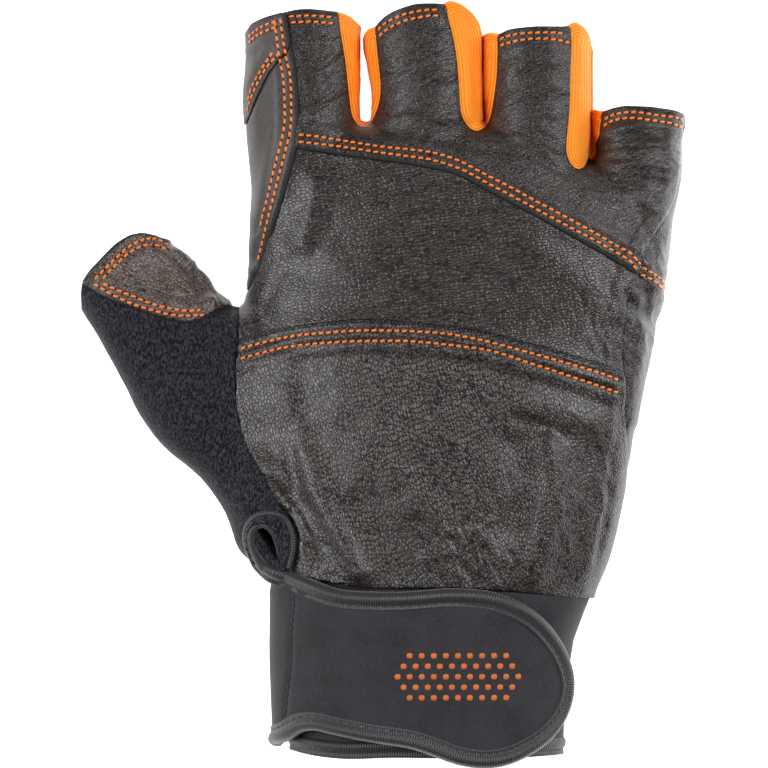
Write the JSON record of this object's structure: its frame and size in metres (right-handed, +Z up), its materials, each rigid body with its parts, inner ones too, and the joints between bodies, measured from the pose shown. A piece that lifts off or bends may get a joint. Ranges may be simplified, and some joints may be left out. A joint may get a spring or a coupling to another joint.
{
  "type": "climbing glove",
  "caption": "Half-finger climbing glove for the left hand: leather palm, knit finger gussets and a wide hook-and-loop wrist strap, lying palm up with its hollow open.",
  "frame": {"origin": "centre of the glove's box, at the height of the surface it lies on", "axes": "+Z up, out of the palm; +Y along the fingers, away from the wrist; -X towards the thumb"},
  "size_m": [0.1518, 0.1898, 0.0421],
  "materials": {
    "goat_leather": "satin, fine pebble grain",
    "side_leather": "matt, smoother",
    "orange_knit": "matt knit",
    "brushed_cloth": "matt, brushed",
    "stretch_cloth": "matt stretch",
    "neoprene": "matt knit face on foam",
    "edge_tape": "matt ribbed",
    "hook_tape": "matt"
  },
  "bodies": {
    "root": {"finger_front": "goat_leather", "palm_patch": "goat_leather", "palm_heel": "goat_leather", "back_panel": "stretch_cloth", "index_side": "side_leather", "index_cap": "side_leather", "little_side": "goat_leather", "outer_side": "goat_leather", "fourchette_1": "orange_knit", "fourchette_2": "orange_knit", "fourchette_3": "orange_knit", "thumb_front": "goat_leather", "thumb_gusset": "brushed_cloth", "wrist_cuff": "neoprene", "cuff_binding": "edge_tape", "strap": "neoprene", "strap_binding": "edge_tape", "hook_patch": "hook_tape", "slit_binding": "edge_tape"}
  },
  "joints": []
}
